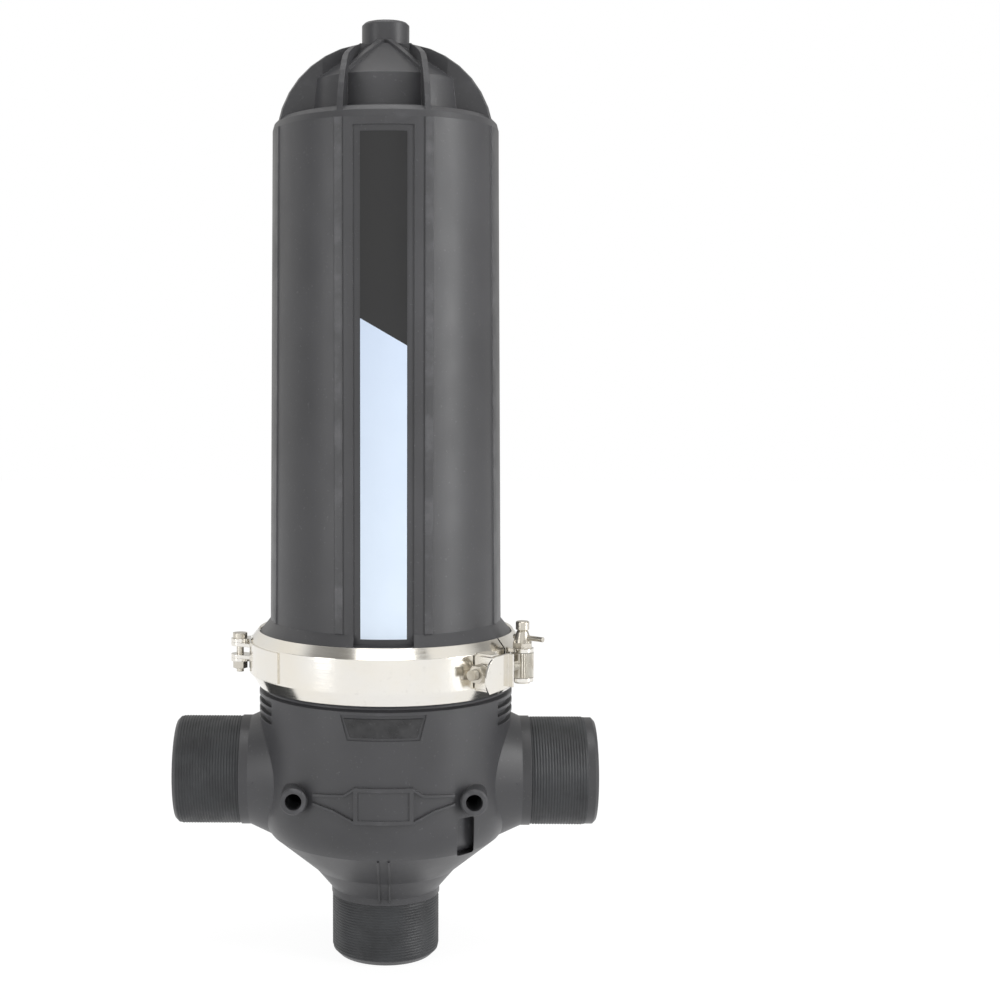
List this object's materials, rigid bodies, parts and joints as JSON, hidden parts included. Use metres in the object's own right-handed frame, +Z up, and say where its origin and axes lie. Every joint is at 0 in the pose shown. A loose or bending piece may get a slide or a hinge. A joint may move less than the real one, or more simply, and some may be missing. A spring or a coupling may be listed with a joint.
{
  "type": "automatic irrigation filter",
  "caption": "Three-port plastic disc filter with a ribbed pressure cover, stainless band clamp and self-flushing disc cartridge inside.",
  "frame": {"origin": "centre of the bottom port's end face", "axes": "+Z up along the cover's axis, +X along the side ports, -Y toward the label, badge and gauge ports"},
  "size_m": [0.348, 0.224, 0.767],
  "materials": {
    "badge_black": "gloss",
    "black_plastic": "moulded satin",
    "cartridge_black": "satin",
    "label_film": "satin film",
    "red_plastic": "satin",
    "rubber": "matt",
    "spring_steel": "drawn wire",
    "stainless": "polished",
    "zinc_steel": "plated"
  },
  "bodies": {
    "housing": {"body": "black_plastic", "cover": "black_plastic", "badge_plate": "badge_black", "cover_label": "label_film", "cover_oring": "rubber", "clamp_front_half": "stainless", "clamp_rear_half": "stainless", "hinge_ears_front": "stainless", "hinge_ears_rear": "stainless", "hinge_pin": "zinc_steel", "hinge_nut": "zinc_steel", "front_lug": "stainless", "rear_ears": "stainless", "pivot_pin": "zinc_steel", "pivot_nut": "zinc_steel", "pivot_cross_pin": "zinc_steel", "cartridge_base": "cartridge_black", "base_seal": "rubber", "tray_ring": "cartridge_black", "spine": "cartridge_black", "flush_nozzles": "cartridge_black", "collar": "cartridge_black", "cap_nut": "cartridge_black", "cap_seal": "rubber", "tie_rod": "stainless", "press_spring": "spring_steel"},
    "swing_bolt": {"swing_bolt": "zinc_steel"},
    "saddle": {"bolt_saddle": "stainless"},
    "nut": {"bolt_nut": "zinc_steel"},
    "discs": {"disc_stack": "red_plastic"},
    "press": {"press_flange": "cartridge_black", "piston_seal": "rubber"},
    "check": {"check_ring": "rubber"}
  },
  "joints": [
    {"name": "clamp_bolt_swing", "type": "hinge", "parent": "housing", "child": "swing_bolt", "pos_m": [0.11032, -0.0521, 0.253], "axis": [0, 0, 1], "range_deg": [0, 60]},
    {"name": "saddle_slide", "type": "slide", "parent": "swing_bolt", "child": "saddle", "axis": [-0.6428, -0.766, 0], "range_m": [0, 0.006]},
    {"name": "nut_turn", "type": "hinge", "parent": "saddle", "child": "nut", "pos_m": [0.07368, -0.09577, 0.253], "axis": [-0.6428, -0.766, 0], "range_deg": [0, 1728]},
    {"name": "disc_spin", "type": "hinge", "parent": "housing", "child": "discs", "pos_m": [0, 0, 0.4], "axis": [0, 0, 1], "continuous": true},
    {"name": "press_lift", "type": "slide", "parent": "housing", "child": "press", "axis": [0, 0, 1], "range_m": [0, 0.008], "stiffness_N_per_m": 6000, "deforming": ["press_spring"]},
    {"name": "check_ring_lift", "type": "slide", "parent": "housing", "child": "check", "axis": [0, 0, 1], "range_m": [0, 0.006]}
  ],
  "couplings": [
    {"joint": "saddle_slide", "follows": "clamp_bolt_swing", "m_per_rad": 0.00573},
    {"joint": "nut_turn", "follows": "clamp_bolt_swing", "ratio": 28.802}
  ]
}
